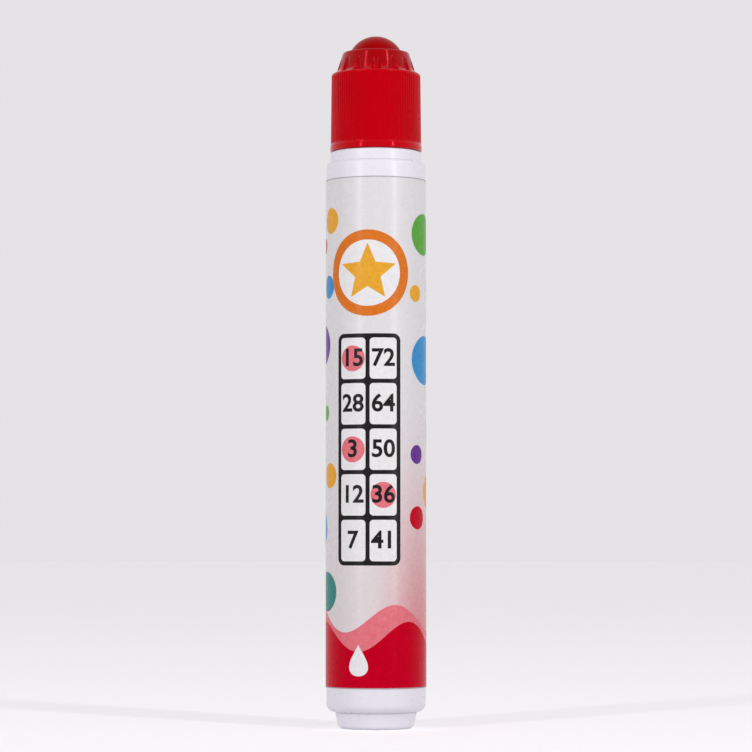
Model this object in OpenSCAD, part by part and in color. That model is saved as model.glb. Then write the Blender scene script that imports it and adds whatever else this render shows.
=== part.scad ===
// Bingo dauber: an ink barrel with a screw cap over a sprung sponge tip.
// Millimetres. +Z runs up the axis and the origin is the middle of the foot's underside.

/* [Ink] */
// Ink colour, which the cap shares
ink_colour = "red"; // [orange, purple, yellow, green, blue, red]
// Air space left between the ink and the neck fitting
ink_headspace = 4.2; // [2:0.1:20]

/* [Barrel] */
// Outside diameter of the bare barrel
barrel_d = 19; // [17.5:0.1:24]
// Length of the barrel between the plug's foot and the collar
barrel_len = 105; // [60:1:150]
// Wall of the barrel
barrel_wall = 1; // [0.9:0.1:1.4]
// Thickness of the barrel's floor round the filler hole
barrel_floor = 2; // [1.5:0.1:3]
// Rounding of the barrel's lower edge
barrel_low_round = 1.7; // [0.8:0.1:1.9]
// Rounding of the barrel's upper edge, which the collar's side starts from
barrel_top_round = 0.8; // [0.4:0.1:0.85]

/* [End plug] */
// Height of the plug's foot, which shows below the barrel
foot_h = 3.1; // [2:0.1:5]
// How far the foot's side draws in towards its underside
foot_taper = 0.6; // [0.2:0.1:1.2]
// Rounding of the foot's lower edge
foot_round = 1.2; // [0.5:0.1:1.5]
// Width of the ledge where the foot sits on the barrel
plug_ledge = 1.6; // [1:0.1:2.4]
// Length of the plug's shank above the foot
plug_shank_len = 6; // [4.5:0.1:12]
// Wall of the hollow shank
plug_wall = 1.2; // [0.8:0.1:1.8]
// Floor of the plug above the dish in its underside
plug_floor = 1.4; // [1:0.1:2]
// How far the snap bead stands out from the shank
bead_out = 0.4; // [0.2:0.05:0.6]
// Height of the snap bead
bead_h = 1.2; // [0.8:0.1:2]
// Depth of the dish in the foot's underside
dish_depth = 0.5; // [0.2:0.1:1]
// Flat ring that the foot stands on
stand_ring_w = 1.6; // [1:0.1:2.5]

/* [Label] */
// Thickness of the label film
label_t = 0.08; // [0.05:0.01:0.2]
// Adhesive under the label
label_glue = 0.02; // [0.01:0.01:0.05]
// Bare barrel below the label
label_low = 4.7; // [2:0.1:15]
// Bare barrel above the label
label_high = 3.4; // [1:0.1:15]

/* [Neck fitting] */
// Height of the collar between barrel and cap
collar_h = 2.1; // [1:0.1:4]
// Rounding of the collar's upper edge
collar_round = 0.3; // [0.1:0.05:0.6]
// Length of the shank inside the barrel
fitting_shank_len = 9; // [7:0.1:14]
// Height of the two sealing bands on the shank
seal_band_h = 1.6; // [1:0.1:2.5]
// Relief between the sealing bands
seal_relief = 0.3; // [0.1:0.05:0.5]
// Length of the neck above the collar
neck_len = 8; // [7.5:0.1:10]
// Wall of the neck
neck_wall = 0.9; // [0.7:0.05:1.2]

/* [Thread] */
// Rise in one turn of the cap
thread_lead = 6; // [5:0.5:8]
// Number of separate thread ribs
thread_starts = 2; // [1:1:2]
// How far a thread rib stands out
thread_depth = 0.5; // [0.4:0.05:0.6]
// Width of a thread rib at its root
rib_root_w = 1.5; // [1:0.1:1.6]
// Width of a thread rib at its crest
rib_crest_w = 0.9; // [0.5:0.1:1]
// Height of the neck ribs' lower ends above the collar
neck_rib_low = 1.7; // [1.5:0.1:2]
// Distance of the neck ribs' upper ends from the neck's top
neck_rib_high = 2.1; // [1.5:0.1:2.5]
// Share of a turn that each cap rib runs
cap_rib_turn_share = 0.45; // [0.3:0.05:0.5]
// Axial play at the flanks that hold the cap down
flank_play = 0.15; // [0.1:0.05:0.3]

/* [Valve] */
// Length of the valve housing
housing_len = 4; // [3.5:0.1:5]
// How much wider the housing's bore is than the neck's
housing_step = 0.5; // [0.3:0.05:0.7]
// Side wall of the housing
housing_wall = 1.4; // [0.8:0.1:1.8]
// Thickness of the housing's web, which carries the seat
web_t = 1.5; // [1:0.1:2]
// Diameter of the hole through the valve seat
seat_hole_d = 4.4; // [4:0.1:5]
// Height of the raised lip round the seat
seat_lip_h = 0.3; // [0.1:0.05:0.5]
// Width of the raised lip round the seat
seat_lip_w = 0.5; // [0.3:0.05:0.8]
// Diameter of the valve stem
stem_d = 2.8; // [2:0.1:3.2]
// Diameter of the poppet head
poppet_d = 7.2; // [6.6:0.1:8]
// Thickness of the poppet head
poppet_t = 1; // [0.8:0.1:1.2]
// Thickness of the seal on the poppet
valve_seal_t = 0.7; // [0.4:0.05:0.9]
// How far the seal draws in from the poppet's edge
valve_seal_inset = 0.2; // [0.1:0.05:0.4]
// Diameter of the spring wire
spring_wire_d = 0.6; // [0.4:0.05:0.7]
// Number of turns in the spring
spring_turns = 5; // [4:1:5]

/* [Tip] */
// Height of the carrier cup
carrier_h = 5; // [4:0.1:6]
// Wall of the carrier cup
carrier_wall = 0.6; // [0.5:0.05:0.8]
// Floor of the carrier cup
carrier_floor = 1.4; // [1:0.1:2]
// Diameter of the boss that grips the stem
boss_d = 4.8; // [4.2:0.1:5.4]
// Length of the boss below the carrier's floor
boss_len = 2.4; // [1.5:0.1:3]
// How far the stem's socket reaches into the carrier's floor
socket_in_floor = 0.6; // [0.2:0.1:0.8]
// Number of ink ports in the carrier's floor
port_count = 6; // [4:1:8]
// Diameter of an ink port
port_d = 1.8; // [1:0.1:2]
// Thickness of the knitted cover
cover_t = 0.25; // [0.15:0.05:0.4]
// How far the tip stands out above the tip ring
tip_rise = 7; // [6:0.1:9]
// Depth of the tip ring inside the neck
ring_depth = 3; // [2:0.1:4]
// Thickness of the tip ring's flange
ring_flange_t = 0.8; // [0.5:0.1:1.2]
// Rounding of the tip ring's upper edges
ring_round = 0.2; // [0.1:0.05:0.3]

/* [Cap skirt] */
// How far the cap's rim stands proud of the collar
cap_lip = 0.1; // [0:0.05:0.4]
// Wall of the cap at its threaded part
cap_wall = 0.9; // [0.7:0.05:1.2]
// Height of the smooth rim below the knurl
rim_h = 1.2; // [0.8:0.1:2]
// How far the knurl lies inside the rim
rim_step = 0.1; // [0.05:0.05:0.2]
// Rounding of the rim's lower edge
rim_round = 0.25; // [0.1:0.05:0.4]
// Height of the skirt from rim to shoulder
skirt_h = 14.9; // [13:0.1:18]
// How far the skirt draws in from rim to shoulder
skirt_taper = 0.15; // [0.1:0.05:0.5]
// Number of grooves in the knurl
knurl_count = 90; // [40:1:100]
// Depth of a knurl groove
knurl_depth = 0.14; // [0.1:0.01:0.22]
// Plain skirt left at each end of the knurl
knurl_margin = 0.3; // [0.1:0.05:1]

/* [Cap crown] */
// Height of the sloping shoulder
shoulder_h = 0.7; // [0.5:0.05:1.5]
// How far the shoulder steps in
shoulder_in = 1.05; // [0.6:0.05:1.3]
// Height of the fluted ring
crown_h = 3.6; // [2.5:0.05:4.5]
// How far the fluted ring draws in towards its top
crown_taper = 1.15; // [0.8:0.05:1.6]
// Width of the ledge between the fluted ring and the dome
crown_ledge = 1.35; // [1:0.05:1.8]
// Rounding of the ledge's outer edge
crown_round = 0.4; // [0.1:0.05:0.6]
// Height of the dome above the ledge
dome_h = 3.2; // [2.2:0.05:4]
// Number of flutes
flute_count = 14; // [10:1:18]
// Width of a flute
flute_d = 1.7; // [1.2:0.1:2.2]
// Depth of a flute at the foot of the fluted ring
flute_depth = 0.75; // [0.4:0.05:0.9]
// How far a flute's floor cuts into the shoulder
flute_floor = 0.55; // [0.2:0.05:0.7]
// Wall behind the deepest part of the flutes and under the ledge
crown_wall = 1.1; // [0.8:0.05:1.4]
// Thickness of the dome at its middle
roof_t = 1.2; // [1:0.05:1.6]

/* [Cap seal] */
// Thickness of the sealing ring
cap_seal_t = 0.8; // [0.5:0.05:1.2]
// How far the sealing ring's pocket draws in from the thread bore
seal_pocket_step = 0.3; // [0.2:0.05:0.4]
// Air between the sponge and the sealing ring
seal_air = 0.5; // [0.4:0.05:0.8]
// Air between the sponge and the cap
tip_air = 0.95; // [0.9:0.05:1.2]

/* [Clearances] */
// Gap at a press fit
press_gap = 0.02; // [0.01:0.01:0.03]
// Gap between faces that rest on each other
seat_gap = 0.05; // [0.03:0.01:0.08]
// Radial gap of the sliding tip
slide_gap = 0.2; // [0.15:0.05:0.25]
// Radial gap between thread crest and bore
thread_gap = 0.2; // [0.15:0.05:0.25]
// Gap between the closed cap and the collar
cap_gap = 0.1; // [0.05:0.05:0.3]

/* [Hidden] */

$fn = 96;
// Straight pieces in one arc of an outline
arc_steps = 8;
// Straight pieces in one turn of a thread rib or of the spring, and the sides of the spring's wire
helix_steps = 36;
spring_steps = 16;
wire_sides = 8;
// Share of a turn over which a thread rib fades out at each end
runout_share = 0.08;
// How far cutters run past the faces that they cut
overrun = 1;
// How far ribs are rooted in their wall, and how far a faded end lies under its surface
rib_rooting = 0.2;
rib_fade = 0.1;
// Lead-in chamfer at the lower end of a pressed shank
lead_in = 0.4;
// Clear space that the ink keeps from the plug and the walls
ink_gap = 0.05;

INKS = [
    ["orange", "#f5821f"], ["purple", "#5b1a8b"], ["yellow", "#ffd800"],
    ["green", "#3fae49"], ["blue", "#55b4e8"], ["red", "#bd0012"]
];
function ink_hex(name) = [for (ink = INKS) if (ink[0] == name) ink[1]][0];
INK = ink_hex(ink_colour);
WHITE = "#eeecf0";
NATURAL = "#f4f1e6";
STEEL = "#b9bcc0";
RUBBER = "#3a3a3d";

// Radii, from the barrel inwards
barrel_r = barrel_d / 2;
bore_r = barrel_r - barrel_wall;
label_in_r = barrel_r + label_glue;
label_r = label_in_r + label_t;
foot_r = barrel_r - barrel_low_round;
filler_r = foot_r - plug_ledge;
plug_r = filler_r - press_gap;
plug_bore_r = plug_r - plug_wall;
bead_r = plug_r + bead_out;
collar_r = barrel_r - barrel_top_round;
fitting_r = bore_r - press_gap;
rim_r = collar_r + cap_lip;
cap_bore_r = rim_r - cap_wall;
neck_crest_r = cap_bore_r - thread_gap;
neck_r = neck_crest_r - thread_depth;
neck_bore_r = neck_r - neck_wall;
housing_bore_r = neck_bore_r + housing_step;
housing_r = housing_bore_r - press_gap;
valve_room_r = housing_r - housing_wall;
seat_hole_r = seat_hole_d / 2;
stem_r = stem_d / 2;
poppet_r = poppet_d / 2;
boss_r = boss_d / 2;
carrier_r = neck_bore_r - slide_gap;
carrier_bore_r = carrier_r - carrier_wall;
cover_r = carrier_bore_r - seat_gap;
cover_in_r = cover_r - cover_t;
foam_r = cover_in_r - press_gap;
ring_r = neck_bore_r - press_gap;
ring_bore_r = cover_r + slide_gap;
spring_r = (boss_r + neck_bore_r) / 2;
wire_r = spring_wire_d / 2;

// Heights, from the foot up
barrel_z = foot_h;
collar_z = barrel_z + barrel_len;
neck_z = collar_z + collar_h;
neck_top_z = neck_z + neck_len;
ring_low_z = neck_top_z - ring_depth;
ring_top_z = neck_top_z + ring_flange_t;
fitting_low_z = collar_z - fitting_shank_len;
housing_top_z = fitting_low_z + housing_len;
web_low_z = housing_top_z - web_t;
seal_top_z = web_low_z - seat_lip_h - seat_gap;
poppet_top_z = seal_top_z - valve_seal_t;
carrier_top_z = ring_low_z - seat_gap;
carrier_z = carrier_top_z - carrier_h;
foam_z = carrier_z + carrier_floor + press_gap;
socket_top_z = carrier_z + socket_in_floor;
tip_top_z = ring_top_z + tip_rise;
dome_z = tip_top_z - cover_r;
spring_low_z = housing_top_z + seat_gap + wire_r;
spring_top_z = carrier_z - seat_gap - wire_r;
barrel_floor_z = barrel_z + barrel_floor;
plug_top_z = foot_h + plug_shank_len;
bead_z = barrel_floor_z + seat_gap;
plug_cup_z = dish_depth + plug_floor;
ink_top_z = fitting_low_z - ink_headspace;
label_z = barrel_z + label_low;
label_len = barrel_len - label_low - label_high;

// Cap, from its rim up
cap_z = neck_z + cap_gap;
knurl_r = rim_r - rim_step;
shoulder_r = knurl_r - skirt_taper;
crown_r = shoulder_r - shoulder_in;
crown_top_r = crown_r - crown_taper;
dome_r = crown_top_r - crown_ledge;
shoulder_z = cap_z + skirt_h;
crown_z = shoulder_z + shoulder_h;
ledge_z = crown_z + crown_h;
cap_top_z = ledge_z + dome_h;
cap_seal_z = ring_top_z + seat_gap;
seal_roof_z = cap_seal_z + cap_seal_t + seat_gap;
seal_pocket_r = cap_bore_r - seal_pocket_step;
cap_seal_r = seal_pocket_r - seat_gap;
cap_seal_bore_r = cover_r + seal_air;
tip_room_r = cover_r + tip_air;
crown_slope = atan(crown_taper / crown_h);
crown_round_r = crown_top_r - crown_round * (1 - sin(crown_slope)) / cos(crown_slope);
flute_in_r = crown_r - flute_depth;
flute_z = crown_z - flute_floor;
crown_room_r = flute_in_r - crown_wall;
crown_room_z = flute_z - crown_wall;
roof_z = cap_top_z - roof_t;
roof_low_z = ledge_z - crown_wall;
roof_r = dome_r - crown_wall;
roof_edge_r = min(crown_room_r, crown_top_r + crown_wall * tan(crown_slope) - crown_wall);
knurl_low_z = cap_z + rim_h + knurl_margin;
knurl_len = skirt_h - rim_h - 2 * knurl_margin;
knurl_slope = atan(skirt_taper / (skirt_h - rim_h));

// Thread: a cap rib hangs under a neck rib, where the crest of each reaches into the other's side
neck_rib_turn_share = (neck_len - neck_rib_low - neck_rib_high) / thread_lead;
engaged_share = (thread_gap + rib_rooting) / (thread_depth + rib_rooting);
engaged_w = rib_root_w - (rib_root_w - rib_crest_w) * engaged_share;
cap_rib_drop = (engaged_w + rib_crest_w) / 2 + flank_play;
cap_rib_start_share = (neck_rib_turn_share - cap_rib_turn_share) / 2;

ink_ml = PI * ((bore_r - ink_gap) ^ 2 * (ink_top_z - barrel_floor_z)
    - (plug_r ^ 2 - plug_bore_r ^ 2) * (plug_top_z - barrel_floor_z)) / 1000;
echo(str("ink, ml: ", ink_ml));
echo(str("overall height, mm: ", cap_top_z));

// Points of an arc in an outline
function arc(centre, r, from, to) = [
    for (i = [0 : arc_steps])
        let (a = from + (to - from) * i / arc_steps)
        centre + r * [cos(a), sin(a)]
];

// Points of a spherical dome on a base of radius r at height z, from its edge to its middle
function dome(r, z, rise) =
    let (
        ball = (r ^ 2 + rise ^ 2) / (2 * rise),
        edge = atan2(ball - rise, r)
    )
    arc([0, z + rise - ball], ball, edge, 90);

// Point k of the ring at step i of a spring wire
function wire_point(i, k) =
    let (
        turn = 360 * i / spring_steps,
        side = 360 * k / wire_sides,
        climb = (spring_top_z - spring_low_z) * i / (spring_steps * spring_turns)
    )
    [
        (spring_r + wire_r * cos(side)) * cos(turn),
        (spring_r + wire_r * cos(side)) * sin(turn),
        spring_low_z + climb + wire_r * sin(side)
    ];

// Triangles of a tube of rings, each of some sides, closed at both ends
function tube_faces(rings, sides) = concat(
    [
        for (i = [0 : rings - 2], k = [0 : sides - 1], half = [0, 1])
            let (
                a = i * sides + k,
                b = i * sides + (k + 1) % sides
            )
            half == 0 ? [a, b, a + sides] : [b, b + sides, a + sides]
    ],
    [for (k = [1 : sides - 2]) [0, k + 1, k]],
    [for (k = [1 : sides - 2], last = (rings - 1) * sides) [last, last + k, last + k + 1]]
);

// A helical rib rooted in a wall of radius wall_r; out is 1 for a rib outside it and -1 for one inside
module thread_rib(wall_r, out, low_z, turn_share) {
    steps = ceil(helix_steps * turn_share);
    runout = runout_share / turn_share;
    root_r = wall_r - out * rib_rooting;
    points = [
        for (i = [0 : steps], corner = [0 : 3])
            let (
                share = i / steps,
                swell = min(1, share / runout, (1 - share) / runout),
                crest_r = wall_r + out * ((thread_depth + rib_fade) * swell - rib_fade),
                turn = 360 * turn_share * share,
                middle_z = low_z + thread_lead * turn_share * share,
                r = corner == 0 || corner == 3 ? root_r : crest_r,
                half_w = (corner == 0 || corner == 3 ? rib_root_w : rib_crest_w) / 2,
                z = middle_z + (corner < 2 ? -half_w : half_w)
            )
            [r * cos(turn), r * sin(turn), z]
    ];
    faces = tube_faces(steps + 1, 4);
    polyhedron(points, out > 0 ? faces : [for (f = faces) [f[0], f[2], f[1]]]);
}

// Every start of a thread
module thread(wall_r, out, low_z, turn_share, start_share) {
    for (start = [0 : thread_starts - 1])
        rotate(360 * (start / thread_starts + start_share))
            thread_rib(wall_r, out, low_z, turn_share);
}

module end_plug() {
    color(WHITE)
        rotate_extrude()
            polygon(concat(
                [
                    [0, dish_depth],
                    [foot_r - foot_taper - foot_round - stand_ring_w - dish_depth, dish_depth],
                    [foot_r - foot_taper - foot_round - stand_ring_w, 0]
                ],
                arc([foot_r - foot_taper - foot_round, foot_round], foot_round, -90, 0),
                [
                    [foot_r, foot_h],
                    [plug_r, foot_h],
                    [plug_r, bead_z],
                    [bead_r, bead_z + bead_out],
                    [plug_r - lead_in, bead_z + bead_h],
                    [plug_r - lead_in, plug_top_z],
                    [plug_bore_r, plug_top_z],
                    [plug_bore_r, plug_cup_z],
                    [0, plug_cup_z]
                ]
            ));
}

module barrel() {
    color(WHITE)
        rotate_extrude()
            polygon(concat(
                [[filler_r, barrel_z]],
                arc([foot_r, barrel_z + barrel_low_round], barrel_low_round, -90, 0),
                arc([collar_r, collar_z - barrel_top_round], barrel_top_round, 0, 90),
                [
                    [bore_r, collar_z],
                    [bore_r, barrel_floor_z],
                    [filler_r, barrel_floor_z]
                ]
            ));
}

module label() {
    color("white")
        translate([0, 0, label_z])
            difference() {
                cylinder(r = label_r, h = label_len);
                translate([0, 0, -overrun])
                    cylinder(r = label_in_r, h = label_len + 2 * overrun);
            }
}

module ink_fill() {
    color(INK)
        rotate_extrude()
            polygon([
                [0, plug_cup_z + ink_gap],
                [plug_bore_r - ink_gap, plug_cup_z + ink_gap],
                [plug_bore_r - ink_gap, plug_top_z + ink_gap],
                [bead_r + ink_gap, plug_top_z + ink_gap],
                [bead_r + ink_gap, barrel_floor_z + ink_gap],
                [bore_r - ink_gap, barrel_floor_z + ink_gap],
                [bore_r - ink_gap, ink_top_z],
                [0, ink_top_z]
            ]);
}

module neck_fitting() {
    color(WHITE) {
        rotate_extrude()
            polygon(concat(
                [
                    [housing_bore_r, fitting_low_z],
                    [fitting_r - lead_in, fitting_low_z],
                    [fitting_r, fitting_low_z + lead_in],
                    [fitting_r, fitting_low_z + seal_band_h],
                    [fitting_r - seal_relief, fitting_low_z + seal_band_h + seal_relief],
                    [fitting_r - seal_relief, collar_z - seal_band_h - seal_relief],
                    [fitting_r, collar_z - seal_band_h],
                    [fitting_r, collar_z],
                    [collar_r, collar_z]
                ],
                arc([collar_r - collar_round, neck_z - collar_round], collar_round, 0, 90),
                [
                    [neck_r, neck_z],
                    [neck_r, neck_top_z],
                    [neck_bore_r, neck_top_z],
                    [neck_bore_r, housing_top_z],
                    [housing_bore_r, housing_top_z]
                ]
            ));
        thread(neck_r, 1, neck_z + neck_rib_low, neck_rib_turn_share, 0);
    }
}

module valve_housing() {
    color(NATURAL)
        rotate_extrude()
            polygon([
                [seat_hole_r, web_low_z - seat_lip_h],
                [seat_hole_r + seat_lip_w, web_low_z - seat_lip_h],
                [seat_hole_r + seat_lip_w, web_low_z],
                [valve_room_r, web_low_z],
                [valve_room_r, fitting_low_z],
                [housing_r - lead_in, fitting_low_z],
                [housing_r, fitting_low_z + lead_in],
                [housing_r, housing_top_z],
                [seat_hole_r, housing_top_z]
            ]);
}

module valve_spring() {
    rings = spring_steps * spring_turns + 1;
    turn_gap = (spring_top_z - spring_low_z) / spring_turns - spring_wire_d;
    echo(str("least gap between spring turns, mm: ", turn_gap));
    color(STEEL)
        polyhedron(
            [for (i = [0 : rings - 1], k = [0 : wire_sides - 1]) wire_point(i, k)],
            tube_faces(rings, wire_sides)
        );
}

module valve_stem() {
    color(NATURAL) {
        translate([0, 0, poppet_top_z - poppet_t])
            cylinder(r1 = poppet_r - poppet_t / 2, r2 = poppet_r, h = poppet_t);
        translate([0, 0, poppet_top_z - poppet_t])
            cylinder(r = stem_r, h = socket_top_z - seat_gap - poppet_top_z + poppet_t);
    }
}

module valve_seal() {
    color(RUBBER)
        translate([0, 0, poppet_top_z])
            difference() {
                cylinder(r = poppet_r - valve_seal_inset, h = valve_seal_t);
                translate([0, 0, -overrun])
                    cylinder(r = stem_r + press_gap, h = valve_seal_t + 2 * overrun);
            }
}

module nib_carrier() {
    port_r = (boss_r + carrier_bore_r) / 2;
    color(NATURAL)
        difference() {
            rotate_extrude()
                polygon([
                    [0, carrier_z - boss_len],
                    [boss_r, carrier_z - boss_len],
                    [boss_r, carrier_z],
                    [carrier_r, carrier_z],
                    [carrier_r, carrier_top_z],
                    [carrier_bore_r, carrier_top_z],
                    [carrier_bore_r, carrier_z + carrier_floor],
                    [0, carrier_z + carrier_floor]
                ]);
            translate([0, 0, carrier_z - boss_len - overrun])
                cylinder(r = stem_r + press_gap, h = boss_len + overrun + socket_in_floor);
            for (i = [0 : port_count - 1])
                rotate(360 * i / port_count)
                    translate([port_r, 0, carrier_z - overrun])
                        cylinder(d = port_d, h = carrier_floor + 2 * overrun);
        }
}

module foam_tip() {
    color(WHITE)
        rotate_extrude()
            polygon(concat(
                [[0, foam_z], [foam_r, foam_z]],
                arc([0, dome_z], foam_r, 0, 90)
            ));
}

module tip_cover() {
    color(INK)
        rotate_extrude()
            polygon(concat(
                [[cover_in_r, foam_z], [cover_r, foam_z]],
                arc([0, dome_z], cover_r, 0, 90),
                arc([0, dome_z], cover_in_r, 90, 0)
            ));
}

module tip_ring() {
    color(WHITE)
        rotate_extrude()
            polygon(concat(
                [
                    [ring_bore_r, ring_low_z],
                    [ring_r, ring_low_z],
                    [ring_r, neck_top_z],
                    [neck_r, neck_top_z]
                ],
                arc([neck_r - ring_round, ring_top_z - ring_round], ring_round, 0, 90),
                arc([ring_bore_r + ring_round, ring_top_z - ring_round], ring_round, 90, 180)
            ));
}

module cap_seal() {
    color(NATURAL)
        translate([0, 0, cap_seal_z])
            difference() {
                cylinder(r = cap_seal_r, h = cap_seal_t);
                translate([0, 0, -overrun])
                    cylinder(r = cap_seal_bore_r, h = cap_seal_t + 2 * overrun);
            }
}

module cap_shell() {
    rotate_extrude()
        polygon(concat(
            [[cap_bore_r, cap_z]],
            arc([rim_r - rim_round, cap_z + rim_round], rim_round, -90, 0),
            [
                [rim_r, cap_z + rim_h - rim_step],
                [knurl_r, cap_z + rim_h],
                [shoulder_r, shoulder_z],
                [crown_r, crown_z]
            ],
            arc([crown_round_r, ledge_z - crown_round], crown_round, crown_slope, 90),
            dome(dome_r, ledge_z, dome_h),
            [for (i = [arc_steps : -1 : 0]) dome(roof_r, roof_low_z, roof_z - roof_low_z)[i]],
            [
                [roof_edge_r, roof_low_z],
                [crown_room_r, crown_z],
                [crown_room_r, crown_room_z],
                [tip_room_r, crown_room_z - (tip_room_r - crown_room_r)],
                [tip_room_r, seal_roof_z],
                [seal_pocket_r, seal_roof_z],
                [seal_pocket_r, cap_seal_z],
                [cap_bore_r, cap_seal_z]
            ]
        ));
}

// The flutes' cutters, which stand in the fluted ring and are round at the back and open to the outside
module flutes() {
    flute_h = ledge_z - flute_z + overrun;
    for (i = [0 : flute_count - 1])
        rotate(360 * i / flute_count - 90)
            translate([flute_in_r + flute_d / 2, 0, flute_z]) {
                cylinder(d = flute_d, h = flute_h);
                translate([0, -flute_d / 2, 0])
                    cube([flute_d, flute_d, flute_h]);
            }
}

// The knurl's cutters, square rods laid edge inwards along the skirt's slope
module knurl() {
    for (i = [0 : knurl_count - 1])
        rotate(360 * i / knurl_count)
            translate([knurl_r - knurl_margin * tan(knurl_slope), 0, knurl_low_z])
                rotate([0, -knurl_slope, 0])
                    cylinder(r = knurl_depth, h = knurl_len, $fn = 4);
}

module cap() {
    cap_rib_z = neck_z + neck_rib_low - cap_rib_drop + thread_lead * cap_rib_start_share;
    color(INK) {
        difference() {
            cap_shell();
            flutes();
            knurl();
        }
        thread(cap_bore_r, -1, cap_rib_z, cap_rib_turn_share, cap_rib_start_share);
    }
}

end_plug();
barrel();
label();
ink_fill();
neck_fitting();
valve_housing();
valve_spring();
valve_stem();
valve_seal();
nib_carrier();
foam_tip();
tip_cover();
tip_ring();
cap_seal();
cap();
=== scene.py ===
"""Bingo dauber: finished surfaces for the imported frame, one function for each piece and material."""
import math

import bmesh
import bpy
from mathutils import Matrix, Vector

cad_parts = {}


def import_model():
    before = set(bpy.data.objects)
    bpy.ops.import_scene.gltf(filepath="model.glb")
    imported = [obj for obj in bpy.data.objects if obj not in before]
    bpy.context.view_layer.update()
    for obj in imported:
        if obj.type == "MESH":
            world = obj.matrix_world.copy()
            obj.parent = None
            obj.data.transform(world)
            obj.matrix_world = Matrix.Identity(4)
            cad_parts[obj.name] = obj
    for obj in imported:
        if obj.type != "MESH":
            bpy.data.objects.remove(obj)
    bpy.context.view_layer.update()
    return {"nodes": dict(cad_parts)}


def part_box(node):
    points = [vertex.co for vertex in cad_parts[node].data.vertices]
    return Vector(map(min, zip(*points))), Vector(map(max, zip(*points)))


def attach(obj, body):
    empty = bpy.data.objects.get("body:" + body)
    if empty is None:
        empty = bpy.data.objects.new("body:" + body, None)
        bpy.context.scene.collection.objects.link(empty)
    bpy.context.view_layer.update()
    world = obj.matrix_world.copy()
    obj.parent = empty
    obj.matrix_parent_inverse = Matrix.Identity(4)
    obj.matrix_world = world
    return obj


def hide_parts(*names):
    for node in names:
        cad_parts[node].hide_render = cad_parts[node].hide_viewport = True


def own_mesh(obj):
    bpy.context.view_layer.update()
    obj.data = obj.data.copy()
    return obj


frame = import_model()

# Sizes of the object are in millimetres until a mesh is made, and those of the stage are in metres
MM = 0.001
TURN = 2 * math.pi


def reach(node):
    """Radius, lowest level and highest level of a round node, in millimetres."""
    low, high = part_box(node)
    return high.x / MM, low.z / MM, high.z / MM


BARREL_R, BARREL_LOW, BARREL_HIGH = reach("barrel")
LABEL_R, LABEL_LOW, LABEL_HIGH = reach("label")
FOOT_R, _, PLUG_TOP = reach("end_plug")
COLLAR_R, FITTING_LOW, NECK_TOP = reach("neck_fitting")
NECK_R, RING_LOW, RING_TOP = reach("tip_ring")
TIP_R, TIP_LOW, TIP_TOP = reach("tip_cover")
SEAL_R, SEAL_LOW, SEAL_HIGH = reach("cap_seal")
SPRING_R, SPRING_LOW, SPRING_HIGH = reach("valve_spring")
HOUSING_R, _, HOUSING_TOP = reach("valve_housing")
RIM_R, CAP_LOW, CAP_TOP = reach("cap")

# Fits, and how far some roundings stay under those of the solids to end short of the next corner
PRESS_GAP = 0.02
SEAT_GAP = 0.05
ROUND_SLACK = 0.1
SAME_R = 1e-6

# Barrel, plug and label
BARREL_WALL = 1.0
BARREL_FLOOR = 2.0
BARREL_LOW_ROUND = 1.7
BARREL_TOP_ROUND = 0.8
PLUG_LEDGE = 1.6
PLUG_WALL = 1.2
PLUG_CUP_LOW = 1.9
PLUG_SEAM_W = 0.12
PLUG_SEAM_H = 0.03
FOOT_TAPER = 0.6
FOOT_ROUND = 1.2
DISH_R = 4.4
DISH_DEPTH = 0.5
GATE_R = 0.9
GATE_H = 0.2
LABEL_T = 0.08
LABEL_LAP = 3.0
LABEL_RAMP = 0.8
LAP_LIFT_SHARE = 1.1
SEAM_U = -19.0

# Neck, thread, tip ring and spring
COLLAR_H = 2.1
COLLAR_ROUND = 0.3
NECK_WALL = 0.9
SHANK_BAND = 1.6
SHANK_RELIEF = 0.3
THREAD_LEAD = 6.0
THREAD_STARTS = 2
THREAD_DEPTH = 0.5
THREAD_ROW = 0.16
THREAD_FOOT_GAP = 0.4
THREAD_HEAD_GAP = 0.3
RIB_ROOT_W = 1.5
RIB_CREST_W = 0.9
RIB_RUNOUT_SHARE = 0.08
FIRST_RIB_SHARE = 0.25
NECK_RIB_LOW = 1.7
NECK_RIB_TURN_SHARE = 0.7
CAP_RIB_TURN_SHARE = 0.45
CAP_RIB_DROP = 1.179
RING_WALL = 0.63
SPRING_WIRE_D = 0.6
SPRING_TURNS = 5

# Cap
CAP_WALL = 0.9
RIM_H = 1.2
RIM_STEP = 0.1
RIM_ROUND = 0.25
RIM_EDGE_ROUND = 0.06
SKIRT_H = 14.9
SKIRT_TAPER = 0.15
SHOULDER_H = 0.7
SHOULDER_IN = 1.05
SHOULDER_ROUND = 0.2
CROWN_H = 3.6
CROWN_TAPER = 1.15
CROWN_LEDGE = 1.35
CROWN_ROUND = 0.4
CROWN_FOOT_ROUND = 0.12
CROWN_WALL = 1.1
DOME_FOOT_ROUND = 0.2
ROOF_T = 1.2
ROOM_ROUND = 0.3
TIP_AIR = 0.95
SEAL_AIR = 0.5
POCKET_STEP = 0.3
POCKET_ROUND = 0.1
POCKET_MOUTH_H = 0.1
CAP_MOUTH_FLARE = 0.1
CAP_MOUTH_H = 0.25
KNURL_COUNT = 90
KNURL_DEPTH = 0.14
KNURL_MARGIN = 0.3
KNURL_RAMP = 0.25
KNURL_GROOVE_SHARE = 0.34
FLUTE_COUNT = 14
FLUTE_D = 1.7
FLUTE_DEPTH = 0.75
FLUTE_FLOOR = 0.55
FLUTE_FLOOR_RISE = 0.05
FLUTE_SOFT = 0.12

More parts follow.
